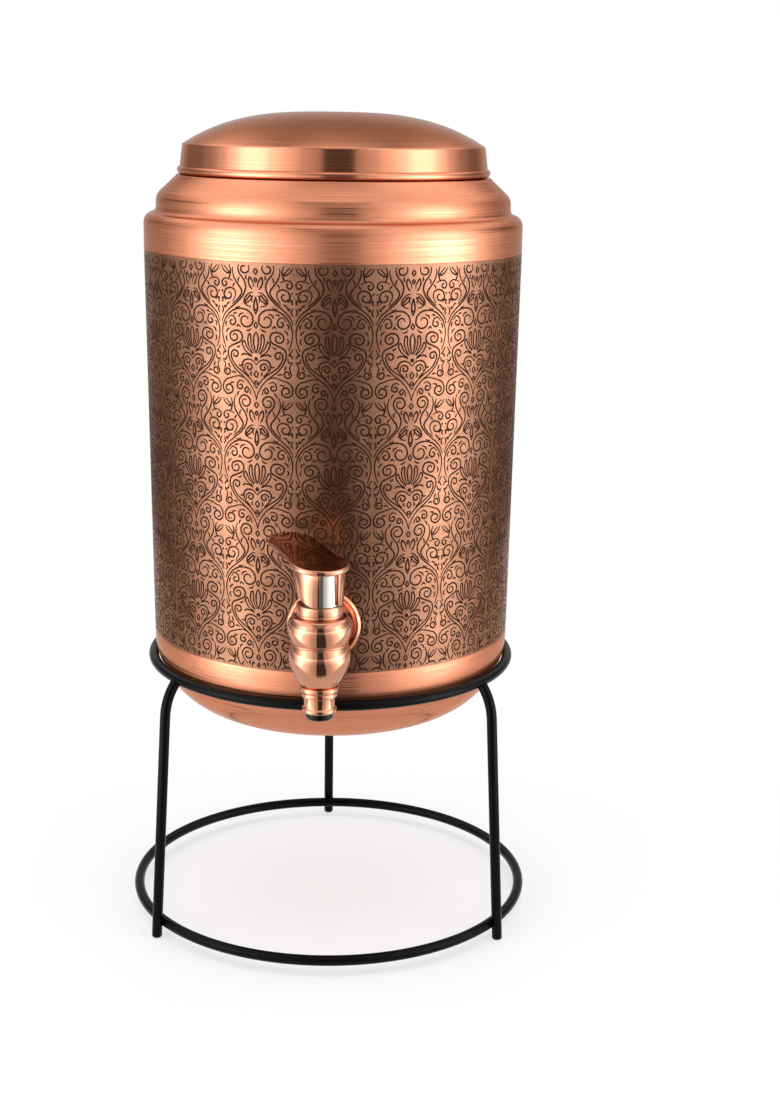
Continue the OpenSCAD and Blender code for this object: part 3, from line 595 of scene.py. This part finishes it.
# A quarter of the sleeve: columns rolled on to the cone, with the sheet's rims and its inner wall
def makeSleeveQuarter(name, column, firstColumn):
    step = 2 * math.pi / engraving["columns"]
    count = engraving["columns"] // 4
    first = math.radians(engraving["columnTurn"] - 90) + firstColumn * step
    seamGap = 0.002  # mm, columns this close are joined
    sameHeight = 0.01
    bm = column.copy()
    for vert in bm.verts:
        u, z, depth = vert.co
        turn = first + u / engraving["tile"] * step
        radius = sleeveR(z) + depth
        vert.co = (radius * math.cos(turn), radius * math.sin(turn), z)
    bmesh.ops.spin(bm, geom=bm.verts[:] + bm.edges[:] + bm.faces[:], cent=(0, 0, 0), axis=(0, 0, 1),
                   angle=step * (count - 1), steps=count - 1, use_duplicate=True)
    bmesh.ops.remove_doubles(bm, verts=bm.verts, dist=seamGap)
    rim = [e for e in bm.edges if e.is_boundary and all(v.co.z > shoulderZ - sameHeight for v in e.verts)]
    # Over the top rim, down the inner wall and back under the bottom rim
    for z, inset in ((shoulderZ, shell["sheet"]), (sleeveZ, shell["sheet"]), (sleeveZ, 0)):
        made = bmesh.ops.extrude_edge_only(bm, edges=rim)["geom"]
        for face in (g for g in made if isinstance(g, bmesh.types.BMFace)):
            face.material_index = inside
        rim = [g for g in made if isinstance(g, bmesh.types.BMEdge) and g.is_boundary]
        for vert in {v for e in rim for v in e.verts}:
            flat = Vector((vert.co.x, vert.co.y)).normalized() * (sleeveR(z) - inset)
            vert.co = (flat.x, flat.y, z)
        rim = [e for e in rim if abs(e.verts[0].co.z - e.verts[1].co.z) < sameHeight]
    bmesh.ops.remove_doubles(bm, verts=bm.verts, dist=seamGap)
    bmesh.ops.holes_fill(bm, edges=[e for e in bm.edges if e.is_boundary], sides=0)
    # The map's lowest strip takes the rims and the inner wall
    stripTop, panelStart = 0.05, 0.06
    start = first - step / 2
    lean = (sleeveTopR - baseR) / (shoulderZ - sleeveZ)
    uvs = bm.loops.layers.uv.new("OFBake")
    normals = []
    for face in bm.faces:
        face.smooth = face.material_index in (panel, inside)
        for loop in face.loops:
            place = loop.vert.co
            turn = (math.atan2(place.y, place.x) - start) % (2 * math.pi)
            # A point a hair before the quarter's start
            if turn > 1.9 * math.pi:
                turn -= 2 * math.pi
            up = (place.z - sleeveZ) / (shoulderZ - sleeveZ)
            v = stripTop * up if face.material_index == inside else panelStart + (1 - panelStart) * up
            loop[uvs].uv = (turn / (step * count), v)
            out = Vector((place.x, place.y, 0)).normalized() - Vector((0, 0, lean))
            normals.append(tuple(out.normalized()) if face.material_index == panel else (0, 0, 0))
    piece = makePiece(name, bm, [antiqueCopper, darkPatina, satinCopper], "vessel", ["embossed_sleeve"],
                      sharpAngle=0)
    piece.data.normals_split_custom_set(normals)


column = flatColumn()
for name, firstColumn in (("sleeve_front_left", -4), ("sleeve_front_right", 0), ("sleeve_back_right", 4),
                          ("sleeve_back_left", 8)):
    makeSleeveQuarter(name, column, firstColumn)
column.free()
print("embossed sleeve done")

# Tap: turned body with two bulges, its flange and collar, the black outlet and the lever.
# taper, bulges and waist are radius and height over the shank's axis. lip and beads are what is added to the
# nozzle's radius, the height over the nozzle's end or the shank's axis, and the fillet
tap = {"shankDrop": 16.9, "nozzle": 6.65, "nozzleWall": 2.2, "mouthDepth": 1,
       "lip": [(0.75, 0, 0.6), (0.75, 1.6, 0.5), (0, 2.3, 0.5)],
       "beads": [(0.25, -19.1, 0.2), (1.25, -19.1, 0.5), (1.25, -17, 0.5), (0.7, -16.8, 0.1),
                 (1.65, -16.6, 0.5), (1.65, -14.5, 0.5)],
       "taper": (7.5, -14.4), "taperPower": 1.7, "lowerBulge": (13.4, -1.3), "waist": (12.15, 4.9),
       "waistBead": 0.45, "upperBulge": (13.85, 11.9), "top": 10.9, "neck": 9.2, "neckEdge": 0.3,
       "neckRun": 6, "sides": 128}
shankZ = high("tap_body").z - tap["shankDrop"]
atTap = Matrix.Translation((tapAxis.x, tapAxis.y, 0))


# Radius and height from one point to another; a power of 2 leaves the first point as an arc does
def swell(start, end, power, steps=22):
    ways = [i / steps for i in range(steps + 1)]
    return [(start[0] + (end[0] - start[0]) * t ** power, start[1] + (end[1] - start[1]) * t) for t in ways]


def makeTapBody():
    bottomZ, topZ, wallY = low("tap_body").z, high("tap_body").z, high("tap_body").y
    nozzle = tap["nozzle"]
    mouthR, mouthZ = nozzle - tap["nozzleWall"], bottomZ + tap["mouthDepth"]
    taper, lower, waist, upper = [(tap[key][0], shankZ + tap[key][1])
                                  for key in ("taper", "lowerBulge", "waist", "upperBulge")]
    lip = [(nozzle + out, bottomZ + up, fillet) for out, up, fillet in tap["lip"]]
    beads = [(nozzle + out, shankZ + up, fillet) for out, up, fillet in tap["beads"]]
    spout = filleted([(0, mouthZ), (mouthR, mouthZ), (mouthR, bottomZ)] + lip + beads + [taper])
    bulges = (swell(lower, taper, tap["taperPower"])[:-1][::-1] + swell(lower, waist, 2)[1:-2]
              + arc(waist, tap["waistBead"], -80, 80, 8) + swell(upper, waist, 2)[1:-2][::-1])
    dome = [(tap["top"] + (upper[0] - tap["top"]) * out, upper[1] + (topZ - upper[1]) * up)
            for out, up in arc((0, 0), 1, 0, 90, 16)]
    bm = moved(spun(spout + bulges + dome + [(0, topZ)], tap["sides"]), atTap)
    # The neck that leads to the wall, run into the body
    edge = tap["neckEdge"]
    stations = [(wallY, tap["neck"] - edge), (wallY - edge, tap["neck"]),
                (tapAxis.y + tap["neckRun"], tap["neck"])]
    addShape(bm, bar([(Vector((0, y, shankZ)), radius) for y, radius in stations], 64))
    makePiece("tap_turned_body", bm, [mirrorCopper], "vessel", ["tap_body"])


# rim is inwards from the edge, back from the front, and the fillet
flange = {"grip": 1.6, "backIn": 0.6, "backRound": 0.4, "rim": [(0, 1.4, 1), (1.6, 0, 0.9), (3.4, 1, 1.5)],
          "dish": 1.3, "heel": 0.6, "heelRound": 0.6}


def makeTapFlange():
    back, radius = high("tap_flange").y, high("tap_flange").x
    thick = back - low("tap_flange").y
    bore, dishZ = tap["neck"] - flange["grip"], thick - flange["dish"]
    rim = [(radius - inwards, thick - down, fillet) for inwards, down, fillet in flange["rim"]]
    profile = filleted([(bore, 0), (radius - flange["backIn"], 0, flange["backRound"])] + rim
                       + [(tap["neck"] + flange["heel"], dishZ, flange["heelRound"]), (bore, dishZ)])
    onWall = Matrix.Translation((0, back, shankZ)) @ Matrix.Rotation(math.radians(90), 4, "X")
    makePiece("tap_dished_flange", moved(spun(profile, tap["sides"]), onWall), [mirrorCopper], "vessel",
              ["tap_flange"])


# edge is inwards from the widest, up from the tap body's top, and the fillet
bonnet = {"bore": 5.9, "thread": 8.5, "topIn": 0.05, "topRound": 0.5,
          "edge": [(0, 0, 0.3), (0, 1.1, 0.25), (0.25, 1.3, 0.1), (0.05, 1.6, 0.2)]}


def makeBonnet():
    bottomZ, topZ, seat = low("bonnet").z, high("bonnet").z, high("tap_body").z
    radius, bore, thread = high("bonnet").x, bonnet["bore"], bonnet["thread"]
    edge = [(radius - inwards, seat + up, fillet) for inwards, up, fillet in bonnet["edge"]]
    profile = filleted([(bore, bottomZ), (thread, bottomZ), (thread, seat)] + edge
                       + [(radius - bonnet["topIn"], topZ, bonnet["topRound"]), (bore, topZ)])
    makePiece("bonnet_collar", moved(spun(profile, tap["sides"]), atTap), [mirrorCopper], "vessel",
              ["bonnet"])


outlet = {"bore": 3.6, "boreRound": 0.5, "edgeRound": 1.6, "plug": 4.4, "sides": 96}


def makeOutlet():
    bottomZ, topZ, seat = low("outlet_insert").z, high("outlet_insert").z, low("tap_body").z
    radius, bore, plug = high("outlet_insert").x, outlet["bore"], outlet["plug"]
    profile = filleted([(bore, bottomZ, outlet["boreRound"]), (radius, bottomZ, outlet["edgeRound"]),
                        (radius, seat), (plug, seat), (plug, topZ), (bore, topZ)])
    makePiece("outlet_black_insert", moved(spun(profile, outlet["sides"]), atTap), [blackPlastic], "vessel",
              ["outlet_insert"])


makeTapBody()
makeTapFlange()
makeBonnet()
makeOutlet()

lever = {"disc": 12.6, "length": 42, "width": 22, "endRound": 14, "thick": 2.5, "topHeight": 9.3, "tilt": 5.5,
         "hubLow": 10.15, "hubHigh": 10.9, "hubBottom": -8.4, "hubDrop": 1.8, "slot": 8.9, "reliefAt": -7.5,
         "reliefTurn": 28, "rim": 0.9, "cheekEdge": 0.25}


# Seen from above: a disc over the tap that runs into a paddle with a rounded end
def leverOutline():
    half = lever["width"] / 2
    join = math.degrees(math.acos(half / lever["disc"]))
    straight = lever["length"] - lever["endRound"]
    disc = arc((0, 0), lever["disc"], 180 - join, 360 + join, 48)
    end = [(half * x, straight + lever["endRound"] * y) for x, y in arc((0, 0), 1, 0, 180, 40)]
    return disc + end


# One side of the hub: a cone cut off at the slot, and below on a slant that rises towards the paddle
def leverCheek(side):
    bottom, top = lever["hubBottom"], lever["topHeight"] - lever["hubDrop"]
    slant = math.radians(lever["reliefTurn"])
    bm = bmesh.new()
    bmesh.ops.create_cone(bm, cap_ends=True, segments=tap["sides"], radius1=lever["hubLow"],
                          radius2=lever["hubHigh"], depth=top - bottom,
                          matrix=Matrix.Translation((0, 0, (top + bottom) / 2)))
    for place, normal in (((side * lever["slot"] / 2, 0, 0), (-side, 0, 0)),
                          ((0, lever["reliefAt"], bottom), (0, math.sin(slant), -math.cos(slant)))):
        cut = bmesh.ops.bisect_plane(bm, geom=bm.verts[:] + bm.edges[:] + bm.faces[:], dist=0.0001,
                                     plane_co=place, plane_no=normal, clear_outer=True)["geom_cut"]
        bmesh.ops.holes_fill(bm, edges=[g for g in cut if isinstance(g, bmesh.types.BMEdge)], sides=0)
    sharp = [e for e in bm.edges if len(e.link_faces) == 2 and e.calc_face_angle() > math.radians(40)]
    bmesh.ops.bevel(bm, geom=sharp, offset=lever["cheekEdge"], segments=2, profile=0.5, affect="EDGES",
                    material=-1, clamp_overlap=True)
    return bm


def makeLever():
    bm = bmesh.new()
    face = bm.faces.new([bm.verts.new((x, y, 0)) for x, y in leverOutline()])
    made = bmesh.ops.extrude_face_region(bm, geom=[face])["geom"]
    bmesh.ops.translate(bm, vec=(0, 0, -lever["thick"]),
                        verts=[g for g in made if isinstance(g, bmesh.types.BMVert)])
    bmesh.ops.recalc_face_normals(bm, faces=bm.faces)
    rims = [e for e in bm.edges if abs(e.verts[0].co.z - e.verts[1].co.z) < 0.01]
    bmesh.ops.bevel(bm, geom=rims, offset=lever["rim"], segments=6, profile=0.5, affect="EDGES", material=-1)
    tilt = Matrix.Rotation(math.radians(lever["tilt"]), 4, "X")
    moved(bm, Matrix.Translation((0, 0, lever["topHeight"])) @ tilt)
    for side in (1, -1):
        addShape(bm, leverCheek(side))
    atPin = Matrix.Translation(pinPlace) @ Matrix.Rotation(math.atan2(-pinAxis.y, -pinAxis.x), 4, "Z")
    makePiece("lever_paddle", moved(bm, atPin), [mirrorCopper], "lever", ["lever"])


# Return spring inside the tap: it shortens towards the post as the stem rises
spring = {"wire": 0.8, "turns": 6, "steps": 24, "sides": 10}


def makeSpring():
    bottom, top = low("return_spring"), high("return_spring")
    half = spring["wire"] / 2
    coil = (top.x - bottom.x) / 2 - half
    count = spring["turns"] * spring["steps"]
    stations = []
    for i in range(count + 1):
        a = 2 * math.pi * i / spring["steps"]
        z = bottom.z + half + (top.z - bottom.z - spring["wire"]) * i / count
        stations.append((Vector((tapAxis.x + coil * math.cos(a), tapAxis.y + coil * math.sin(a), z)), half))
    piece = makePiece("return_spring_coil", bar(stations, spring["sides"]), [stainlessSteel], "post",
                      ["return_spring"])
    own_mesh(piece)


makeLever()
makeSpring()
print("tap done")

# Stand: bent wire legs with rounded feet, welded to the outside of the base ring and under the upper ring
stand = {"weld": 0.7, "bendOut": 7.2, "bendHeight": 18, "bendPull": 0.53, "bendEnd": 0.97, "bendSteps": 14,
         "footRound": 1.1, "footSteps": 6, "footLift": 0.1, "sides": 24}
wire = (high("base_ring").z - low("base_ring").z) / 2
upperRing = high("upper_ring") - Vector((wire, wire, wire))
baseRing = high("base_ring") - Vector((wire, wire, wire))


def makeLeg(node, turn):
    foot = Vector((baseRing.x + 2 * wire - stand["weld"], 0, stand["footLift"]))
    bend = Vector((upperRing.x + stand["bendOut"], 0, upperRing.z - stand["bendHeight"]))
    top = Vector((upperRing.x, 0, upperRing.z))
    along = (bend - foot).normalized()
    stations = []
    for i in range(stand["footSteps"] + 1):
        a = math.radians(90 * i / stand["footSteps"])
        stations.append((foot + along * stand["footRound"] * (1 - math.cos(a)),
                         wire - stand["footRound"] * (1 - math.sin(a))))
    # The bend leaves the straight wire along its own line and ends inside the ring's wire
    control = bend + along * (top - bend).length * stand["bendPull"]
    for i in range(stand["bendSteps"] + 1):
        t = i / stand["bendSteps"] * stand["bendEnd"]
        stations.append((bend * (1 - t) ** 2 + control * 2 * t * (1 - t) + top * t ** 2, wire))
    bm = moved(bar(stations, stand["sides"]), Matrix.Rotation(turn, 4, "Z"))
    makePiece(node + "_wire", bm, [powderCoat], "stand", [node])


for node in ("leg_rear", "leg_left", "leg_right"):
    middle = (low(node) + high(node)) / 2
    makeLeg(node, math.atan2(middle.y, middle.x))
print("stand done")

# CAD nodes that stay get their finish
finishes = {"stand_wire": powderCoat, "steel": stainlessSteel, "rubber": blackRubber, "chrome": chromePlate,
            "satin_copper": satinCopper, "antique_copper": antiqueCopper, "polished_copper": mirrorCopper,
            "black_plastic": blackPlastic}
for subpart in frame["record"]["subparts"]:
    mesh = frame["nodes"][subpart["node"]].data
    mesh.materials.clear()
    mesh.materials.append(finishes[subpart["material_slot"]])
print("CAD nodes dressed")

# Studio: white sweep, a soft box at each side, and the dark gap between them where the camera stands.
# A pair called At is where a change starts and ends: parts of a direction here, metres on the paper below
studio = {"turn": 5.5, "ceiling": 0.4, "ceilingAt": (0.3, 0.65), "sideCeiling": 1.7, "sideAt": (0.2, 0.5),
          "overhead": 1.4, "overheadAt": (0.85, 0.98), "backdrop": 0.6, "backdropAt": (0.7, 0.9),
          "fill": 0.75}
# Angle from the camera's side, and brightness there
ramp = [(0, 0.07), (11, 0.07), (12.8, 0.62), (25, 0.85), (36, 1.4), (48, 2.2), (60, 3.6), (72, 3.6), (83, 2),
        (93, 1), (106, 0.5), (122, 0.28), (180, 0.32)]
smooth = {"interpolation_type": "SMOOTHSTEP"}


# Brightness of the studio in a direction, as a socket
def studioLight(tree, direction):
    parts = addNode(tree, "SeparateXYZ", {0: direction})
    ahead = addNode(tree, "Math", {0: parts["Y"], 1: -1.0}, operation="MULTIPLY")[0]
    turn = addNode(tree, "Math", {0: parts["X"], 1: ahead}, operation="ARCTAN2")[0]
    off = addNode(tree, "Math", {0: turn, 1: math.radians(studio["turn"])}, operation="SUBTRACT")[0]
    side = addNode(tree, "Math", {0: off}, operation="ABSOLUTE")[0]
    share = addNode(tree, "Math", {0: side, 1: math.pi}, operation="DIVIDE")[0]
    boxes = addNode(tree, "ValToRGB", {0: share})
    brightest = max(level for _, level in ramp)
    colours = boxes[0].node.color_ramp
    colours.interpolation = "EASE"
    stops = colours.elements
    while len(stops) < len(ramp):
        stops.new(0.5)
    for stop, (angle, level) in zip(stops, ramp):
        stop.position = angle / 180
        stop.color = [level / brightest] * 3 + [1]
    return addNode(tree, "Math", {0: boxes[0], 1: brightest}, operation="MULTIPLY")[0]


def makeWorld():
    world = bpy.data.worlds.new("studio")
    bpy.context.scene.world = world
    world.use_nodes = True
    tree = world.node_tree
    tree.nodes.clear()
    direction = addNode(tree, "TexCoord")["Generated"]
    boxes = studioLight(tree, direction)
    parts = addNode(tree, "SeparateXYZ", {0: direction})
    aside = addNode(tree, "Math", {0: parts["X"]}, operation="ABSOLUTE")[0]
    wing = addNode(tree, "MapRange", between(aside, studio["sideAt"]), **smooth)[0]
    wings = addNode(tree, "Mix", {0: wing, 2: studio["ceiling"], 3: studio["sideCeiling"]})[0]
    top = addNode(tree, "MapRange", between(parts["Z"], studio["overheadAt"]), **smooth)[0]
    ceiling = addNode(tree, "Mix", {0: top, 2: wings, 3: studio["overhead"]})[0]
    # The paper rises behind the object, which the far side of the lid's dome shows
    behind = addNode(tree, "MapRange", between(parts["Y"], studio["backdropAt"]), **smooth)[0]
    around = addNode(tree, "Mix", {0: behind, 2: boxes, 3: studio["backdrop"]})[0]
    upper = addNode(tree, "MapRange", between(parts["Z"], studio["ceilingAt"]), **smooth)[0]
    seen = addNode(tree, "Mix", {0: upper, 2: around, 3: ceiling})[0]
    path = addNode(tree, "LightPath")
    plain = addNode(tree, "Math", {0: path["Is Camera Ray"], 1: path["Is Transmission Ray"]},
                    operation="MAXIMUM")[0]
    shown = addNode(tree, "Mix", {0: plain, 2: studio["fill"], 3: 1.0})[0]
    strength = addNode(tree, "Mix", {0: path["Is Glossy Ray"], 2: shown, 3: seen})[0]
    back = addNode(tree, "Background", {"Color": (1, 1, 1, 1), "Strength": strength})
    addNode(tree, "OutputWorld", {"Surface": back[0]})


# The paper: for metal it glows with painted light, soft boxes painted by direction, a painted dark strip in
# front and painted brightening far off. strip is the least that metal sees of its front, and shade is the
# white left beside the object
sweep = {"radius": 9, "colour": "#f4f4f4", "strip": (0.03, 0.15), "stripAt": (0.68, 0.82), "farStrip": 0.3,
         "farStripAt": (2.2, 3.2), "paintedGain": (1.05, 2.2), "gainAt": (0.5, 3), "close": 0.95,
         "closeMiddle": (0, 0.36, 0), "closeAt": (0.56, 0.6), "shade": 0.6, "shadeAt": (0.15, 0.55)}


def makeFloor():
    bm = bmesh.new()
    bmesh.ops.create_circle(bm, cap_ends=True, segments=96, radius=sweep["radius"])
    mesh = bpy.data.meshes.new("floor")
    bm.to_mesh(mesh)
    bm.free()
    floor = bpy.data.objects.new("floor", mesh)
    bpy.context.collection.objects.link(floor)
    material = bpy.data.materials.new("white paper sweep")
    material.use_nodes = True
    mesh.materials.append(material)
    tree = material.node_tree
    tree.nodes.clear()
    where = addNode(tree, "TexCoord")["Object"]
    away = addNode(tree, "VectorMath", {0: where}, operation="LENGTH")["Value"]
    # Metal sees painted light on the paper: the soft boxes painted on it by direction, a painted dark strip
    # in front, painted brightening with distance, and an even white close by
    boxes = studioLight(tree, where)
    near = addNode(tree, "MapRange", between(away, sweep["stripAt"], sweep["strip"]))[0]
    far = addNode(tree, "MapRange", between(away, sweep["farStripAt"], (0, sweep["farStrip"])))[0]
    least = addNode(tree, "Math", {0: near, 1: far}, operation="MAXIMUM")[0]
    depth = addNode(tree, "SeparateXYZ", {0: where})["Y"]
    front = addNode(tree, "Math", {0: depth, 1: 0.0}, operation="LESS_THAN")[0]
    strip = addNode(tree, "Math", {0: least, 1: front}, operation="MULTIPLY")[0]
    paintedBoxLight = addNode(tree, "Math", {0: boxes, 1: strip}, operation="MAXIMUM")[0]
    paintedGain = addNode(tree, "MapRange", between(away, sweep["gainAt"], sweep["paintedGain"]))[0]
    level = addNode(tree, "Math", {0: paintedBoxLight, 1: paintedGain}, operation="MULTIPLY")[0]
    reach = addNode(tree, "VectorMath", {0: where, 1: sweep["closeMiddle"]}, operation="DISTANCE")
    beyond = addNode(tree, "MapRange", between(reach["Value"], sweep["closeAt"]))[0]
    paper = addNode(tree, "Mix", {0: beyond, 2: sweep["close"], 3: level})[0]
    path = addNode(tree, "LightPath")
    # For glossy rays the paper glows at this painted level, brighter than white paper could be; other rays
    # see plain white
    shine = addNode(tree, "Mix", {0: path["Is Glossy Ray"], 2: 1.0, 3: paper})[0]
    glow = addNode(tree, "Emission", {"Color": (1, 1, 1, 1), "Strength": shine})[0]
    matte = addNode(tree, "BsdfDiffuse", {"Color": linear(sweep["colour"])})[0]
    through = addNode(tree, "Math", {0: path["Is Camera Ray"], 1: path["Is Transmission Ray"]},
                      operation="MAXIMUM")[0]
    # The paper's own shade shows only round the object, and fades out into plain white
    glowing = addNode(tree, "MapRange", between(away, sweep["shadeAt"], (sweep["shade"], 1)), **smooth)
    plain = addNode(tree, "Math", {0: through, 1: glowing[0]}, operation="MULTIPLY")[0]
    share = addNode(tree, "Math", {0: plain, 1: path["Is Glossy Ray"]}, operation="MAXIMUM")[0]
    mixed = addNode(tree, "MixShader", {0: share, 1: matte, 2: glow})
    addNode(tree, "OutputMaterial", {"Surface": mixed[0]})


# Soft lamps that light the paper and draw the shadow; the metal sees the world's soft boxes instead
lamps = [{"name": "overhead", "place": (0, -0.1, 1.7), "size": 1.6, "power": 14},
         {"name": "left", "place": (-1.3, -0.7, 0.9), "size": 0.9, "power": 5},
         {"name": "right", "place": (1.3, -0.7, 0.9), "size": 0.9, "power": 4}]


def makeLamps():
    aim = Vector((0, 0, 0.2))
    for lamp in lamps:
        data = bpy.data.lights.new(lamp["name"], "AREA")
        data.size = lamp["size"]
        data.energy = lamp["power"]
        item = bpy.data.objects.new(lamp["name"], data)
        item.location = lamp["place"]
        item.rotation_euler = (aim - item.location).to_track_quat("-Z", "Y").to_euler()
        item.visible_glossy = False
        bpy.context.collection.objects.link(item)


# Where the photograph was taken from, in metres and degrees
view = {"place": (0.03107, -0.8596, 0.3955), "left": 0.12, "down": 14.034, "roll": 0.85, "lens": 57.45,
        "sensor": 36}


def makeCamera():
    data = bpy.data.cameras.new("camera")
    data.sensor_width = view["sensor"]
    data.lens = view["lens"]
    camera = bpy.data.objects.new("camera", data)
    left, down, roll = [Matrix.Rotation(math.radians(angle), 4, axis) for angle, axis in
                        ((view["left"], "Z"), (90 - view["down"], "X"), (view["roll"], "Z"))]
    camera.matrix_world = Matrix.Translation(view["place"]) @ (left @ down @ roll)
    bpy.context.collection.objects.link(camera)
    bpy.context.scene.camera = camera


makeWorld()
makeFloor()
makeLamps()
makeCamera()
bpy.context.scene.view_settings.view_transform = "Standard"
print("studio done")
